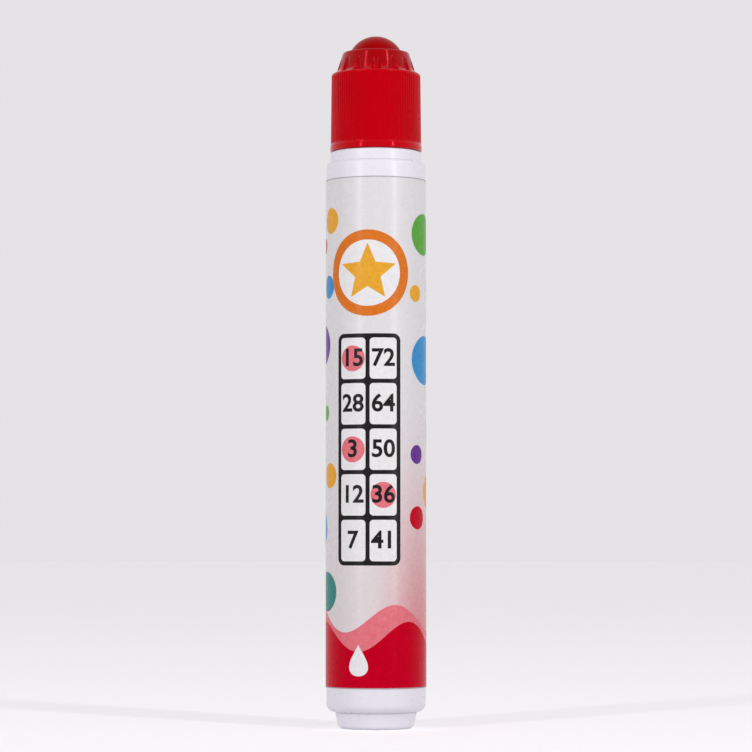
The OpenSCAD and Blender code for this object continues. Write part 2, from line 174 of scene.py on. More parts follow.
# Levels and radii that follow from them
NECK_LOW = BARREL_HIGH + COLLAR_H
CAP_BORE_R = RIM_R - CAP_WALL
KNURL_R = RIM_R - RIM_STEP
SHOULDER_R = KNURL_R - SKIRT_TAPER
SHOULDER_Z = CAP_LOW + SKIRT_H
CROWN_R = SHOULDER_R - SHOULDER_IN
CROWN_Z = SHOULDER_Z + SHOULDER_H
CROWN_TOP_R = CROWN_R - CROWN_TAPER
LEDGE_Z = CROWN_Z + CROWN_H
DOME_R = CROWN_TOP_R - CROWN_LEDGE
FLUTE_IN_R = CROWN_R - FLUTE_DEPTH
FLUTE_Z = CROWN_Z - FLUTE_FLOOR
CROWN_ROOM_R = FLUTE_IN_R - CROWN_WALL
CROWN_ROOM_Z = FLUTE_Z - CROWN_WALL
ROOF_EDGE_R = min(CROWN_ROOM_R, CROWN_TOP_R + CROWN_WALL * CROWN_TAPER / CROWN_H - CROWN_WALL)
TIP_ROOM_R = TIP_R + TIP_AIR
POCKET_R = CAP_BORE_R - POCKET_STEP
KNURL_LOW = CAP_LOW + RIM_H + KNURL_MARGIN
KNURL_HIGH = SHOULDER_Z - KNURL_MARGIN

# Mesh steps round the axis
SEGMENTS = 192
CAP_SEGMENTS = KNURL_COUNT * 6
TIP_SEGMENTS = 144

# Scales of the noises that plastics share, the part of a noise's values that is used, and a skin's height
CLOUD_SCALE = 160.0
GLOSS_SCALE = 960.0
GRAIN_SCALE = 1100.0
NOISE_LOW = 0.3
NOISE_HIGH = 0.7
SKIN_H = 0.01


# Outlines


def rounded(corners, steps=5):
    """Points of an outline through (r, z, rounding) corners, whose corners with a rounding become arcs."""
    points = []
    for i, (r, z, rounding) in enumerate(corners):
        here = Vector((r, z))
        if not rounding:
            points.append((r, z))
            continue
        before = (Vector(corners[i - 1][:2]) - here).normalized()
        after = (Vector(corners[(i + 1) % len(corners)][:2]) - here).normalized()
        half = before.angle(after) / 2
        centre = here + (before + after).normalized() * rounding / math.sin(half)
        start = (here + before * rounding / math.tan(half) - centre).normalized()
        end = (here + after * rounding / math.tan(half) - centre).normalized()
        for k in range(steps + 1):
            point = centre + start.slerp(end, k / steps) * rounding
            points.append((point.x, point.y))
    return points


def dome(r, z, rise, steps=14):
    """Points of a spherical dome from its edge, at radius r and level z, to its middle."""
    ball = (r * r + rise * rise) / (2 * rise)
    edge = math.atan2(ball - rise, r)
    points = []
    for k in range(steps):
        angle = edge + (math.pi / 2 - edge) * k / steps
        points.append((ball * math.cos(angle), z + rise - ball + ball * math.sin(angle)))
    return points + [(0, z + rise)]


def disc(u, v, d, points=56):
    """Points of a circle of some diameter about (u, v)."""
    angles = [TURN * k / points for k in range(points)]
    return [(u + d / 2 * math.cos(angle), v + d / 2 * math.sin(angle)) for angle in angles]


def levels(r, low, high, step):
    """Outline points at radius r, from level low to level high, about a step apart."""
    count = max(1, round(abs(high - low) / step))
    return [(r, low + (high - low) * k / count, 0) for k in range(count + 1)]


def clamp(value):
    return min(1.0, max(0.0, value))


def soft_min(a, b, width):
    """The smaller of two lengths, with the corner between them rounded off over a width."""
    blend = max(width - abs(a - b), 0) / width
    return min(a, b) - blend * blend * width / 4


def rib_height(angle, z, low, turn_share, start_share):
    """How much of its full height the nearest thread rib has at an angle from the front and a level."""
    tallest = 0.0
    for start in range(THREAD_STARTS):
        turned_by = angle / TURN - FIRST_RIB_SHARE - start / THREAD_STARTS - start_share
        share = (turned_by % 1.0) / turn_share
        if share > 1:
            continue
        swell = clamp(min(share, 1 - share) * turn_share / RIB_RUNOUT_SHARE)
        middle = low + THREAD_LEAD * turn_share * share
        flank = (RIB_ROOT_W / 2 - abs(z - middle)) / ((RIB_ROOT_W - RIB_CREST_W) / 2)
        tallest = max(tallest, clamp(flank) * swell)
    return tallest * tallest * (3 - 2 * tallest)


# Meshes


def at(r, angle, z):
    """The place, in metres, at a radius, an angle from the front towards +X, and a level."""
    return r * math.sin(angle) * MM, -r * math.cos(angle) * MM, z * MM


def turned(outline, segments=SEGMENTS, shape=None):
    """A closed body of revolution, whose points a shape function may move by outline index and angle."""
    bm = bmesh.new()
    rings = []
    for index, (r, z) in enumerate(outline):
        if r == 0:
            rings.append([bm.verts.new((0, 0, z * MM))])
            continue
        ring = []
        for k in range(segments):
            angle = TURN * k / segments
            at_r, at_z = shape(index, r, z, angle) if shape else (r, z)
            ring.append(bm.verts.new(at(at_r, angle, at_z)))
        rings.append(ring)
    for low, high in zip(rings, rings[1:] + rings[:1]):
        if len(low) == 1 and len(high) == 1:
            continue
        for k in range(segments):
            n = (k + 1) % segments
            corners = [low[k % len(low)], low[n % len(low)], high[n % len(high)], high[k % len(high)]]
            bm.faces.new(dict.fromkeys(corners))
    bmesh.ops.recalc_face_normals(bm, faces=bm.faces)
    return bm


def swept(sections):
    """A closed body through sections, each a ring of as many places."""
    bm = bmesh.new()
    rings = [[bm.verts.new(place) for place in section] for section in sections]
    sides = len(rings[0])
    for low, high in zip(rings, rings[1:]):
        for k in range(sides):
            n = (k + 1) % sides
            bm.faces.new((low[k], low[n], high[n], high[k]))
    bm.faces.new(rings[0])
    bm.faces.new(rings[-1])
    bmesh.ops.recalc_face_normals(bm, faces=bm.faces)
    return bm


def piece(name, bm, material, body, sharp=35):
    """A finished object from a mesh, riding on a body; edges are sharp above an angle in degrees."""
    mesh = bpy.data.meshes.new(name)
    bm.to_mesh(mesh)
    bm.free()
    mesh.shade_smooth()
    mesh.set_sharp_from_angle(angle=math.radians(sharp))
    mesh.materials.append(material)
    made = bpy.data.objects.new(name, mesh)
    bpy.context.scene.collection.objects.link(made)
    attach(made, body)
    return made


# Materials


def srgb(red, green, blue):
    """A linear colour from 8-bit screen values."""
    linear = []
    for value in (red, green, blue):
        share = value / 255
        linear.append(share / 12.92 if share <= 0.04045 else ((share + 0.055) / 1.055) ** 2.4)
    return (*linear, 1.0)


class Nodes:
    """A node tree, and short calls that add and join its nodes."""

    def __init__(self, tree, shader):
        self.tree = tree
        self.shader = tree.nodes[shader]
        self.coordinates = self.node("ShaderNodeTexCoord")

    def node(self, kind, inputs=None, **settings):
        made = self.tree.nodes.new(kind)
        for key, value in settings.items():
            setattr(made, key, value)
        for key, value in (inputs or {}).items():
            if isinstance(value, bpy.types.NodeSocket):
                self.tree.links.new(value, made.inputs[key])
            else:
                made.inputs[key].default_value = value
        return made

    def join(self, output, socket):
        self.tree.links.new(output, self.shader.inputs[socket])

    def place(self, axis, space="Object"):
        """One coordinate of the place on the surface."""
        return self.node("ShaderNodeSeparateXYZ", {0: self.coordinates.outputs[space]}).outputs[axis]

    def math(self, operation, a, b=0.0):
        return self.node("ShaderNodeMath", {0: a, 1: b}, operation=operation).outputs[0]

    def ripple(self, value):
        """A row of equal humps, one for each whole number that the value passes."""
        return self.math("ABSOLUTE", self.math("SINE", self.math("MULTIPLY", value, math.pi)))

    def noise(self, scale, detail=2.0):
        inputs = {"Scale": scale, "Detail": detail, "Roughness": 0.5}
        inputs["Vector"] = self.coordinates.outputs["Object"]
        return self.node("ShaderNodeTexNoise", inputs).outputs["Fac"]

    def range(self, value, from_low, from_high, to_low, to_high, smooth=False):
        kind = "SMOOTHSTEP" if smooth else "LINEAR"
        inputs = {"Value": value, "From Min": from_low, "From Max": from_high}
        inputs.update({"To Min": to_low, "To Max": to_high})
        return self.node("ShaderNodeMapRange", inputs, interpolation_type=kind).outputs["Result"]

    def mix(self, share, a, b):
        return self.node("ShaderNodeMix", {0: share, 6: a, 7: b}, data_type="RGBA").outputs[2]

    def bump(self, height, distance, strength):
        inputs = {"Height": height, "Distance": distance, "Strength": strength}
        self.join(self.node("ShaderNodeBump", inputs).outputs["Normal"], "Normal")

    def in_view(self):
        """1 for a ray from the camera or off gloss or through glass, and 0 for the others."""
        rays = self.node("ShaderNodeLightPath").outputs
        mirrored = self.math("MAXIMUM", rays["Is Glossy Ray"], rays["Is Transmission Ray"])
        return self.math("MAXIMUM", rays["Is Camera Ray"], mirrored)


class Finish(Nodes):
    """A material with a Principled shader, whose gloss and skin are a little uneven."""

    def __init__(self, name, roughness, **constants):
        self.material = bpy.data.materials.new(name)
        self.material.use_nodes = True
        super().__init__(self.material.node_tree, "Principled BSDF")
        self.shader.inputs["Roughness"].default_value = roughness
        for socket, value in constants.items():
            self.shader.inputs[socket.replace("_", " ")].default_value = value

    def colour(self, share, a, b):
        """A base colour between two, by a share that may be a noise."""
        self.join(self.mix(share, a, b), "Base Color")

    def uneven_gloss(self, scale, roughness, spread=0.04):
        """A roughness that wanders by a spread about its value."""
        low = roughness - spread
        high = roughness + spread
        self.join(self.range(self.noise(scale), NOISE_LOW, NOISE_HIGH, low, high), "Roughness")

    def skin(self, scale, strength):
        """A fine unevenness all over the surface."""
        self.bump(self.noise(scale), SKIN_H * MM, strength)


def moulded(name, pale, deep, roughness, grain=GRAIN_SCALE):
    """Moulded plastic: faint clouds of colour, a fine skin and an uneven gloss."""
    finish = Finish(name, roughness)
    finish.colour(finish.noise(CLOUD_SCALE, 3.0), pale, deep)
    finish.uneven_gloss(GLOSS_SCALE, roughness)
    finish.skin(grain, 0.05)
    return finish.material


def cap_plastic(name, roughness, specular):
    """The cap's red plastic, with painted shade: deeper in colour above the skirt, where the crown and
    dome face up and catch less light.
    """
    pale = srgb(202, 0, 19)
    # deep: the painted shade colour given to the crown and dome
    deep = srgb(164, 0, 5)
    cloud_share = 0.35
    finish = Finish(name, roughness, Specular_IOR_Level=specular, Specular_Tint=RED_GLOSS)
    # Painted shade: the red darkens from the shoulder to a quarter up the crown, and stays dark over the
    # crown and dome
    above = finish.range(finish.place("Z"), SHOULDER_Z * MM, (CROWN_Z + CROWN_H / 4) * MM, 0.0, 1.0)
    cloud = finish.math("MULTIPLY", finish.noise(CLOUD_SCALE, 3.0), cloud_share)
    finish.colour(finish.math("MAXIMUM", cloud, above), pale, deep)
    finish.uneven_gloss(GLOSS_SCALE, roughness)
    finish.skin(GRAIN_SCALE, 0.25)
    return finish.material


def varnished(name, specular, **constants):
    """The finish of the printed film, still without its colour."""
    roughness = 0.28
    finish = Finish(name, roughness, Specular_IOR_Level=specular, **constants)
    finish.uneven_gloss(700.0, roughness)
    finish.skin(420.0, 0.08)
    return finish


def printed_ink(name, colour, deep, **constants):
    """Printing ink with a faint mottle, less glossy than the film."""
    finish = varnished(name, 0.12, **constants)
    mottle = finish.range(finish.noise(1500.0, 3.0), 0.35, 0.75, 0.0, 1.0)
    finish.colour(mottle, colour, deep)
    return finish.material


def label_paper(name, white, tint):
    """The label's white ground, with a smooth fade of the ink's colour on the right and at the foot."""
    fade_top_share = 0.62
    fade_left_share = -0.2
    left_share = 0.12
    full_share = 0.8
    finish = varnished(name, 0.4)
    fade_top = fade_top_share * LABEL_HIGH * MM
    fade_left = fade_left_share * LABEL_R * MM
    rise = finish.range(finish.place("Z"), LABEL_LOW * MM, fade_top, 1.0, 0.0, smooth=True)
    side = finish.range(finish.place("X"), fade_left, LABEL_R * MM, left_share, 1.0, smooth=True)
    fade = finish.math("MULTIPLY", finish.math("MULTIPLY", rise, side), full_share)
    patches = finish.range(finish.noise(1800.0, 3.0), NOISE_LOW, NOISE_HIGH, 0.9, 1.1)
    finish.colour(finish.math("MULTIPLY", fade, patches), white, tint)
    return finish.material


def knitted(name, clean, inked):
    """The tip's knitted cover: rows of small stitches, soaked with ink from the crown down, with painted
    shade in the gaps between stitches.
    """
    # between: the near-black colour of the painted shade in the gaps between stitches
    between = (0.02, 0.0, 0.003, 1.0)
    slant_share = 0.6
    wander = 1.3
    soak_low = RING_TOP + 0.4
    soak_high = RING_TOP + 2.6
    stitch_rise = 0.12
    finish = Finish(name, 0.85, Sheen_Weight=0.3, Sheen_Roughness=0.5)
    column = finish.ripple(finish.place("X", "UV"))
    slant = finish.math("MULTIPLY", column, slant_share)
    row = finish.ripple(finish.math("ADD", finish.place("Y", "UV"), slant))
    stitch = finish.math("MULTIPLY", finish.math("POWER", column, 0.5), finish.math("POWER", row, 0.6))
    ragged = finish.range(finish.noise(500.0, 4.0), 0.2, 0.8, -wander * MM, wander * MM)
    level = finish.math("ADD", finish.place("Z"), ragged)
    soaked = finish.range(level, soak_low * MM, soak_high * MM, 0.0, 1.0, smooth=True)
    dyed = finish.mix(soaked, clean, inked)
    # Painted shade: the colour darkens towards near-black between the stitches
    finish.colour(finish.range(stitch, 0.0, 1.0, 0.62, 1.0), between, dyed)
    finish.bump(stitch, stitch_rise * MM, 0.9)
    return finish.material


def spring_steel(name):
    """Drawn wire, unevenly bright."""
    roughness = 0.29
    finish = Finish(name, roughness, Metallic=1.0)
    finish.colour(finish.noise(900.0, 3.0), srgb(196, 198, 202), srgb(150, 152, 158))
    finish.uneven_gloss(2400.0, roughness, spread=0.09)
    finish.skin(4000.0, 0.5)
    return finish.material


def pale_floor(name, colour, deep, glow):
    """A pale floor that takes shadows, and looks paler than the light on it makes it."""
    grain_h = 0.04
    finish = Finish(name, 0.9, Specular_IOR_Level=0.1, Emission_Color=colour)
    finish.colour(finish.noise(6.0, 3.0), colour, deep)
    finish.join(finish.math("MULTIPLY", finish.in_view(), glow), "Emission Strength")
    finish.bump(finish.noise(900.0, 3.0), grain_h * MM, 0.2)
    return finish.material


RED_GLOSS = srgb(255, 72, 86)
CAP_PLASTIC = cap_plastic("cap_plastic", roughness=0.12, specular=0.58)
CAP_MATT = cap_plastic("cap_matt", roughness=0.3, specular=0.12)
WHITE_PLASTIC = moulded("white_plastic", srgb(239, 236, 245), srgb(233, 230, 239), 0.3)
NATURAL_PLASTIC = moulded("natural_plastic", srgb(236, 231, 218), srgb(222, 216, 200), 0.42)
SEAL_FOAM = moulded("seal_foam", srgb(236, 233, 226), srgb(220, 216, 206), 0.7, grain=2200.0)
RUBBER = moulded("black_rubber", srgb(44, 44, 47), srgb(32, 32, 35), 0.65)
INK = moulded("ink", srgb(150, 0, 14), srgb(120, 0, 10), 0.12)
STEEL = spring_steel("spring_steel")
KNIT = knitted("knit", srgb(232, 226, 222), srgb(168, 6, 26))
LABEL_GROUND = label_paper("label_ground", srgb(226, 223, 225), srgb(214, 60, 74))
PRINTS = {
    "black": printed_ink("print_black", srgb(24, 22, 24), srgb(34, 31, 33)),
    # The grey ink is painted shadow, used only for the lines along the label's edges
    "grey": printed_ink("painted_shadow_grey", srgb(176, 172, 176), srgb(164, 160, 164)),
    "white": printed_ink("print_white", srgb(240, 238, 239), srgb(232, 230, 231)),
    "red": printed_ink("print_red", srgb(202, 0, 36), srgb(190, 0, 30), Specular_Tint=RED_GLOSS),
    "pink": printed_ink("print_pink", srgb(232, 122, 132), srgb(224, 108, 120)),
    "amber": printed_ink("print_amber", srgb(238, 174, 52), srgb(228, 160, 40)),
    "orange": printed_ink("print_orange", srgb(226, 122, 34), srgb(214, 110, 28)),
    "green": printed_ink("print_green", srgb(96, 172, 62), srgb(82, 158, 52)),
    "blue": printed_ink("print_blue", srgb(60, 150, 208), srgb(48, 136, 196)),
    "teal": printed_ink("print_teal", srgb(54, 138, 132), srgb(44, 124, 120)),
    "purple": printed_ink("print_purple", srgb(108, 52, 150), srgb(96, 42, 138)),
}


# Body pieces


def barrel():
    foot = BARREL_R - BARREL_LOW_ROUND
    filler = foot - PLUG_LEDGE
    bore = BARREL_R - BARREL_WALL
    seam_top = BARREL_LOW + PLUG_SEAM_H
    outline = rounded([
        (filler, BARREL_LOW, 0),
        (foot - PLUG_SEAM_W, BARREL_LOW, 0),
        (foot, seam_top, 0),
        (BARREL_R, seam_top, BARREL_LOW_ROUND - 2 * PLUG_SEAM_H),
        (BARREL_R, BARREL_HIGH, BARREL_TOP_ROUND - ROUND_SLACK),
        (bore, BARREL_HIGH, 0),
        (bore, BARREL_LOW + BARREL_FLOOR, 0),
        (filler, BARREL_LOW + BARREL_FLOOR, 0),
    ], steps=10)
    made = piece("barrel_shell", turned(outline), WHITE_PLASTIC, "barrel")
    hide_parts("barrel")


def end_plug():
    base = FOOT_R - FOOT_TAPER
    shank = BARREL_R - BARREL_LOW_ROUND - PLUG_LEDGE - PRESS_GAP
    gate_round = 0.08
    dish_round = 0.15
    seam_round = 0.14
    shank_round = 0.3
    lip_round = 0.2
    outline = rounded([
        (0, DISH_DEPTH - GATE_H, 0),
        (GATE_R, DISH_DEPTH - GATE_H, gate_round),
        (GATE_R, DISH_DEPTH, gate_round),
        (DISH_R - DISH_DEPTH, DISH_DEPTH, dish_round),
        (DISH_R, 0, dish_round),
        (base, 0, FOOT_ROUND - ROUND_SLACK),
        (FOOT_R, BARREL_LOW, seam_round),
        (shank, BARREL_LOW, 0),
        (shank, PLUG_TOP, shank_round),
        (shank - PLUG_WALL, PLUG_TOP, lip_round),
        (shank - PLUG_WALL, PLUG_CUP_LOW, shank_round),
        (0, PLUG_CUP_LOW, 0),
    ], steps=8)
    made = piece("end_plug_foot", turned(outline), WHITE_PLASTIC, "barrel")
    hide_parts("end_plug")


def neck_fitting():
    shank = BARREL_R - BARREL_WALL - PRESS_GAP
    housing_seat = HOUSING_R + PRESS_GAP
    bore = NECK_R - NECK_WALL
    rib_low = NECK_LOW + NECK_RIB_LOW
    thread_low = NECK_LOW + THREAD_FOOT_GAP
    shank_round = 0.3
    band_round = 0.1
    seam_round = 0.12
    neck_foot_round = 0.2
    outline = rounded([
        (housing_seat, FITTING_LOW, 0),
        (shank, FITTING_LOW, shank_round),
        (shank, FITTING_LOW + SHANK_BAND, band_round),
        (shank - SHANK_RELIEF, FITTING_LOW + SHANK_BAND + SHANK_RELIEF, 0),
        (shank - SHANK_RELIEF, BARREL_HIGH - SHANK_BAND - SHANK_RELIEF, 0),
        (shank, BARREL_HIGH - SHANK_BAND, band_round),
        (shank, BARREL_HIGH, 0),
        (COLLAR_R, BARREL_HIGH, seam_round),
        (COLLAR_R, NECK_LOW, COLLAR_ROUND),
        (NECK_R, NECK_LOW, neck_foot_round),
        *levels(NECK_R, thread_low, NECK_TOP - THREAD_HEAD_GAP, THREAD_ROW),
        (NECK_R, NECK_TOP, 0),
        (bore, NECK_TOP, 0),
        (bore, HOUSING_TOP, 0),
        (housing_seat, HOUSING_TOP, 0),
    ])

    def with_thread(index, r, z, angle):
        if abs(r - NECK_R) > SAME_R or z < thread_low:
            return r, z
        return r + THREAD_DEPTH * rib_height(angle, z, rib_low, NECK_RIB_TURN_SHARE, 0), z

    bm = turned(outline, shape=with_thread)
    made = piece("neck_collar", bm, WHITE_PLASTIC, "barrel", sharp=40)
    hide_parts("neck_fitting")


def tip_ring():
    insert = NECK_R - NECK_WALL - PRESS_GAP
    bore = insert - RING_WALL
    low_round = 0.1
    flange_edge_round = 0.05
    top_round = 0.3
    outline = rounded([
        (bore, RING_LOW, low_round),
        (insert, RING_LOW, low_round),
        (insert, NECK_TOP, 0),
        (NECK_R, NECK_TOP, flange_edge_round),
        (NECK_R, RING_TOP, top_round),
        (bore, RING_TOP, top_round),
    ], steps=6)
    made = piece("tip_ring_collar", turned(outline), WHITE_PLASTIC, "barrel")
    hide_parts("tip_ring")


def sponge_tip():
    """The sponge under its knitted cover, as one soft dome; stitches follow the mesh's own layout."""
    stitch_w = 0.42
    stitch_h = 0.34
    bottom_round = 0.6
    side_row = 0.6
    side_low_gap = 0.2
    side_top_gap = 0.3
    dent = 0.05
    dent_low = RING_TOP + 0.4
    dent_ramp = 2.0
    dome_low = TIP_TOP - TIP_R
    side = levels(TIP_R, TIP_LOW + bottom_round + side_low_gap, dome_low - side_top_gap, side_row)
    outline = rounded([(0, TIP_LOW, 0), (TIP_R, TIP_LOW, bottom_round), *side])
    outline += dome(TIP_R, dome_low, TIP_R, steps=26)

    def uneven(index, r, z, angle):
        wave = math.sin(3 * angle + 0.4 * z) + math.sin(5 * angle - 0.7 * z + 1.0)
        above = clamp((z - dent_low) / dent_ramp)
        return r - dent * above * (1 + wave / 2), z

    bm = turned(outline, TIP_SEGMENTS, uneven)
    layer = bm.loops.layers.uv.new("stitches")
    columns = round(TURN * TIP_R / stitch_w)
    for face in bm.faces:
        angles = [math.atan2(loop.vert.co.x, -loop.vert.co.y) / TURN for loop in face.loops]
        crosses = max(angles) - min(angles) > 0.5
        for loop, angle in zip(face.loops, angles):
            around = angle + 1 if crosses and angle < 0 else angle
            height = loop.vert.co.z / MM
            polar = math.asin(clamp((height - dome_low) / TIP_R)) if height > dome_low else 0
            along = min(height, dome_low) + polar * TIP_R
            loop[layer].uv = (around * columns, along / stitch_h)
    made = piece("sponge_tip", bm, KNIT, "tip", sharp=80)
    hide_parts("foam_tip", "tip_cover")


def valve_spring():
    """The valve's coil spring, built as a fixed coil at its rest length; the real spring shortens as the
    tip is pressed.
    """
    steps = 28 * SPRING_TURNS
    start_share = 0.25
    coil_r = SPRING_R - SPRING_WIRE_D / 2
    low = SPRING_LOW + SPRING_WIRE_D / 2
    rise = SPRING_HIGH - SPRING_LOW - SPRING_WIRE_D
    sections = []
    for k in range(steps + 1):
        angle = TURN * (SPRING_TURNS * k / steps + start_share)
        wire = disc(coil_r, low + rise * k / steps, SPRING_WIRE_D, points=12)
        sections.append([at(r, angle, z) for r, z in wire])
    made = piece("valve_coil", swept(sections), STEEL, "barrel")
    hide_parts("valve_spring")
    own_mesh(made)


# Cap


def flute_cut(angle):
    """Radius at which a flute's cut lies at an angle from the front."""
    pitch = TURN / FLUTE_COUNT
    off = (angle + pitch / 2) % pitch - pitch / 2
    middle = FLUTE_IN_R + FLUTE_D / 2
    across = middle * math.sin(off)
    if abs(across) >= FLUTE_D / 2:
        return 2 * RIM_R
    return middle * math.cos(off) - math.sqrt(FLUTE_D * FLUTE_D / 4 - across * across)


def knurl_cut(angle, z):
    """How far a knurl groove cuts in at an angle and a level."""
    ramp = clamp(min(z - KNURL_LOW, KNURL_HIGH - z) / KNURL_RAMP)
    share = abs((angle * KNURL_COUNT / TURN + 0.5) % 1.0 - 0.5)
    return KNURL_DEPTH * ramp * clamp(1 - share / KNURL_GROOVE_SHARE)


def skirt_r(z):
    return KNURL_R - SKIRT_TAPER * (z - CAP_LOW - RIM_H) / (SKIRT_H - RIM_H)


def shoulder_slope_r(z):
    return SHOULDER_R - SHOULDER_IN * (z - SHOULDER_Z) / SHOULDER_H


def crown_slope_r(z):
    return CROWN_R - CROWN_TAPER * (z - CROWN_Z) / CROWN_H


def cap_outside():
    """The cap's outline from its rim to the middle of its dome, whose foot is rounded into the ledge."""
    rows = 14
    knurl_levels = [KNURL_LOW, KNURL_LOW + KNURL_RAMP, KNURL_HIGH - KNURL_RAMP, KNURL_HIGH]
    crown_levels = [CROWN_Z + CROWN_H * k / rows for k in range(2, rows - 1)]
    floor_top = FLUTE_Z + FLUTE_FLOOR_RISE
    top = dome(DOME_R, LEDGE_Z, CAP_TOP - LEDGE_Z, steps=18)[2:]
    corners = [
        (CAP_BORE_R, CAP_LOW, 0),
        (RIM_R, CAP_LOW, RIM_ROUND),
        (RIM_R, CAP_LOW + RIM_H - RIM_STEP, RIM_EDGE_ROUND),
        (KNURL_R, CAP_LOW + RIM_H, RIM_EDGE_ROUND),
        *((skirt_r(z), z, 0) for z in knurl_levels),
        (SHOULDER_R, SHOULDER_Z, SHOULDER_ROUND),
        (shoulder_slope_r(FLUTE_Z), FLUTE_Z, 0),
        (shoulder_slope_r(floor_top), floor_top, 0),
        (CROWN_R, CROWN_Z, CROWN_FOOT_ROUND),
        *((crown_slope_r(z), z, 0) for z in crown_levels),
        (CROWN_TOP_R, LEDGE_Z, CROWN_ROUND),
        (DOME_R, LEDGE_Z, DOME_FOOT_ROUND),
        (*top[0], 0),
    ]
    return rounded(corners)[1:-1] + top


def cap_inside():
    """The cap's outline from the middle of its roof to its mouth."""
    roof_low = LEDGE_Z - CROWN_WALL
    rise = CAP_TOP - ROOF_T - roof_low
    pocket_top = SEAL_HIGH + SEAT_GAP
    roof = dome(DOME_R - CROWN_WALL, roof_low, rise, steps=16)[::-1]
    corners = [
        (*roof[-1], 0),
        (ROOF_EDGE_R, roof_low, ROOM_ROUND),
        (CROWN_ROOM_R, CROWN_Z, 0),
        (CROWN_ROOM_R, CROWN_ROOM_Z, ROOM_ROUND),
        (TIP_ROOM_R, CROWN_ROOM_Z - TIP_ROOM_R + CROWN_ROOM_R, ROOM_ROUND),
        (TIP_ROOM_R, pocket_top, POCKET_ROUND),
        (POCKET_R, pocket_top, POCKET_ROUND),
        (POCKET_R, SEAL_LOW, 0),
        *levels(CAP_BORE_R, SEAL_LOW - POCKET_MOUTH_H, CAP_LOW + CAP_MOUTH_H, THREAD_ROW),
        (CAP_BORE_R + CAP_MOUTH_FLARE, CAP_LOW, 0),
    ]
    return roof + rounded(corners)[1:]


def cap():
    """The cap's shell, matt on the knurl and the dome and glossy elsewhere."""
    outside = cap_outside()
    rib_start_share = (NECK_RIB_TURN_SHARE - CAP_RIB_TURN_SHARE) / 2
    rib_low = NECK_LOW + NECK_RIB_LOW - CAP_RIB_DROP + THREAD_LEAD * rib_start_share
    flutes_low = FLUTE_Z + 0.01
    flutes_high = LEDGE_Z - 0.05

    def shaped(index, r, z, angle):
        if index >= len(outside):
            if abs(r - CAP_BORE_R) < SAME_R:
                r -= THREAD_DEPTH * rib_height(angle, z, rib_low, CAP_RIB_TURN_SHARE, rib_start_share)
            return r, z
        if KNURL_LOW < z < KNURL_HIGH:
            r -= knurl_cut(angle, z)
        if flutes_low < z < flutes_high:
            r = soft_min(r, flute_cut(angle), FLUTE_SOFT)
        return r, z

    bm = turned(outside + cap_inside(), CAP_SEGMENTS, shaped)
    made = piece("cap_shell", bm, CAP_PLASTIC, "cap", sharp=50)
    made.data.materials.append(CAP_MATT)
    for face in made.data.polygons:
        x, y, z = face.center / MM
        on_knurl = KNURL_LOW < z < KNURL_HIGH and math.hypot(x, y) > CAP_BORE_R + CAP_WALL / 2
        if on_knurl or z > LEDGE_Z:
            face.material_index = 1
    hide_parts("cap")


def cap_seal():
    bore = TIP_R + SEAL_AIR
    edge_round = 0.15
    outline = rounded([
        (bore, SEAL_LOW, edge_round),
        (SEAL_R, SEAL_LOW, edge_round),
        (SEAL_R, SEAL_HIGH, edge_round),
        (bore, SEAL_HIGH, edge_round),
    ])
    made = piece("cap_seal_ring", turned(outline), SEAL_FOAM, "cap_seal")
    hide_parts("cap_seal")


# Label: flat shapes in (u, v), the distance round the barrel from the front and the level


def label_film():
    """The film, once round the barrel and lapped over its own start."""
    round_length = TURN * LABEL_R
    stations = 260
    sections = []
    for k in range(stations + 1):
        s = (round_length + LABEL_LAP) * k / stations
        angle = (SEAM_U + s) / LABEL_R
        lift = LABEL_T * LAP_LIFT_SHARE * clamp((s - round_length + LABEL_RAMP) / LABEL_RAMP)
        inner = LABEL_R - LABEL_T + lift
        outer = LABEL_R + lift
        corners = ((inner, LABEL_LOW), (outer, LABEL_LOW), (outer, LABEL_HIGH), (inner, LABEL_HIGH))
        sections.append([at(r, angle, z) for r, z in corners])
    made = piece("label_film", swept(sections), LABEL_GROUND, "barrel")
    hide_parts("label")


def tile(u, v, w, h, corner):
    """A rectangle with rounded corners about (u, v)."""
    corners = [(w / 2, h / 2), (-w / 2, h / 2), (-w / 2, -h / 2), (w / 2, -h / 2)]
    return [(u + x, v + y) for x, y in rounded([(x, y, corner) for x, y in corners], steps=6)]


def star(u, v, d, waist_share=0.45, arms=5):
    points = []
    for k in range(2 * arms):
        r = d / 2 * (1 if k % 2 == 0 else waist_share)
        angle = math.pi / 2 + math.pi * k / arms
        points.append((u + r * math.cos(angle), v + r * math.sin(angle)))
    return points


def drop(u, v, h, width_share=0.46, points=48):
    """A drop of ink, its point upwards."""
    shape = []
    for k in range(points):
        angle = TURN * k / points
        narrow = math.sin(angle / 2) ** 1.6
        shape.append((u + width_share * h * math.sin(angle) * narrow, v + h / 2 * math.cos(angle)))
    return shape


def band(low, high, swing=0.0, phase=0.0, waves=3, columns=150):
    """Narrow columns of a band all round the label, straight below and, with a swing, wavy above."""
    half = math.pi * LABEL_R
    shapes = []
    for k in range(columns):
        left, right = (half * (2 * (k + side) / columns - 1) for side in (0, 1))
        crests = [high + swing * math.sin(waves * u / LABEL_R + phase) for u in (left, right)]
        shapes.append([(left, low), (right, low), (right, crests[1]), (left, crests[0])])
    return shapes


def numeral_mesh(words, size, u, v):
    """Flat mesh of a plain number about (u, v)."""
    bold_share = 0.022
    curve = bpy.data.curves.new("numeral", "FONT")
    curve.body = words
    curve.size = size
    curve.align_x = "CENTER"
    curve.align_y = "CENTER"
    curve.offset = bold_share * size
    curve.resolution_u = 4
    holder = bpy.data.objects.new("numeral", curve)
    mesh = bpy.data.meshes.new_from_object(holder)
    mesh.transform(Matrix.Translation((u, v, 0)))
    bpy.data.objects.remove(holder)
    bpy.data.curves.remove(curve)
    return mesh


